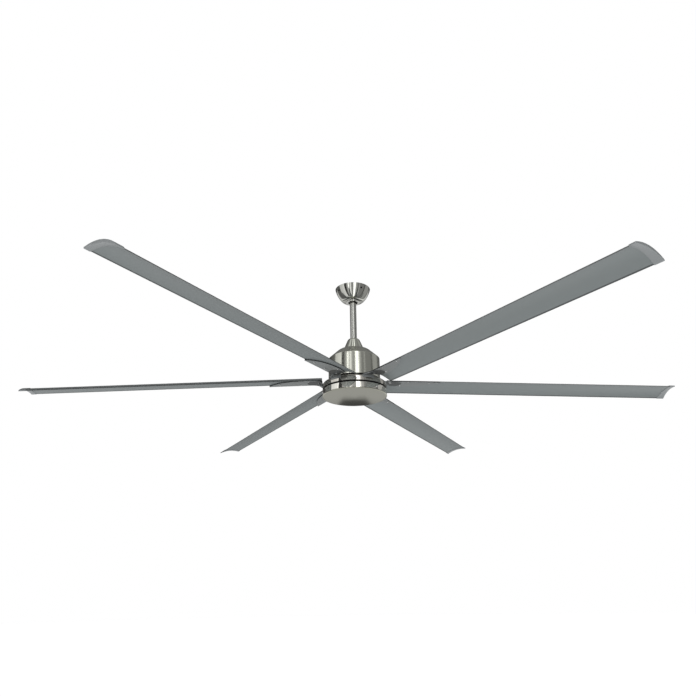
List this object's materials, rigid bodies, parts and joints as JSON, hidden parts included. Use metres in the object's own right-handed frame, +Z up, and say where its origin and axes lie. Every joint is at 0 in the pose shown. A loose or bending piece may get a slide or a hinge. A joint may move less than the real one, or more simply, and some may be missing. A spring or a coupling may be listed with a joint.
{
  "type": "ceiling fan",
  "caption": "Large ceiling fan on a short downrod: bowl canopy, brushed motor housing, polished blade ring and long arched blades with end caps, hung from a ball joint.",
  "frame": {"origin": "on the ceiling, at the centre of the hanger bracket's flat top", "axes": "+Z up, along the downrod and the spin axis; +X along the first blade; the fan hangs below the origin"},
  "size_m": [2.5408, 2.2868, 0.4725],
  "materials": {
    "brushed_nickel": "satin",
    "polished_chrome": "polished",
    "polished_aluminium": "polished and plated",
    "brushed_dish": "satin",
    "blade_grey": "satin grey coating",
    "cap_grey": "matte",
    "arm_grey": "satin grey coating",
    "galvanised_steel": "dull zinc",
    "zinc_plate": "bright zinc",
    "white_nylon": "moulded",
    "black_plastic": "moulded",
    "cable_rubber": "matte",
    "cast_aluminium": "as cast",
    "bearing_steel": "ground",
    "silicon_steel": "laminated",
    "copper": "enamelled wire",
    "magnet": "ferrite",
    "board_green": "solder resist"
  },
  "bodies": {
    "ceiling_mount": {"hanger_bracket": "galvanised_steel", "canopy": "brushed_nickel", "canopy_trim_ring": "brushed_nickel", "canopy_screw_1": "zinc_plate", "canopy_screw_2": "zinc_plate", "canopy_screw_3": "zinc_plate", "canopy_screw_4": "zinc_plate", "driver_module": "black_plastic", "terminal_block": "white_nylon"},
    "ball_seat": {"ball_liner": "white_nylon"},
    "hanging_motor": {"hanger_ball": "black_plastic", "ball_pin": "zinc_plate", "downrod": "brushed_nickel", "supply_cable": "cable_rubber", "motor_coupling": "cast_aluminium", "rod_pin": "zinc_plate", "rod_pin_clip": "zinc_plate", "set_screw_1": "bearing_steel", "set_screw_2": "bearing_steel", "coupling_cover": "brushed_nickel", "motor_housing": "brushed_nickel", "motor_shaft": "bearing_steel", "bearing_upper": "bearing_steel", "bearing_lower": "bearing_steel", "stator_hub": "cast_aluminium", "stator_core": "silicon_steel", "stator_windings": "copper", "control_board": "board_green", "spacer_sleeve": "bearing_steel", "cap_plate": "galvanised_steel", "shaft_nut": "zinc_plate", "bottom_band": "polished_chrome", "bottom_cap": "brushed_dish", "cap_screw_1": "zinc_plate", "cap_screw_2": "zinc_plate", "cap_screw_3": "zinc_plate"},
    "rotor": {"rotor_upper_shell": "cast_aluminium", "rotor_lower_shell": "cast_aluminium", "magnet_ring": "magnet", "blade_ring": "polished_aluminium", "blade_arm_1": "arm_grey", "blade_arm_2": "arm_grey", "blade_arm_3": "arm_grey", "blade_arm_4": "arm_grey", "blade_arm_5": "arm_grey", "blade_arm_6": "arm_grey", "blade_1": "blade_grey", "blade_2": "blade_grey", "blade_3": "blade_grey", "blade_4": "blade_grey", "blade_5": "blade_grey", "blade_6": "blade_grey", "blade_tip_cap_1": "cap_grey", "blade_tip_cap_2": "cap_grey", "blade_tip_cap_3": "cap_grey", "blade_tip_cap_4": "cap_grey", "blade_tip_cap_5": "cap_grey", "blade_tip_cap_6": "cap_grey"}
  },
  "joints": [
    {"name": "ball_tilt_x", "type": "hinge", "parent": "ceiling_mount", "child": "ball_seat", "pos_m": [0, 0, -0.032], "axis": [1, 0, 0], "range_deg": [-6, 6]},
    {"name": "ball_tilt_y", "type": "hinge", "parent": "ball_seat", "child": "hanging_motor", "pos_m": [0, 0, -0.032], "axis": [0, 1, 0], "range_deg": [-6, 6]},
    {"name": "rotor_spin", "type": "hinge", "parent": "hanging_motor", "child": "rotor", "pos_m": [0, 0, -0.428], "axis": [0, 0, 1], "continuous": true}
  ]
}
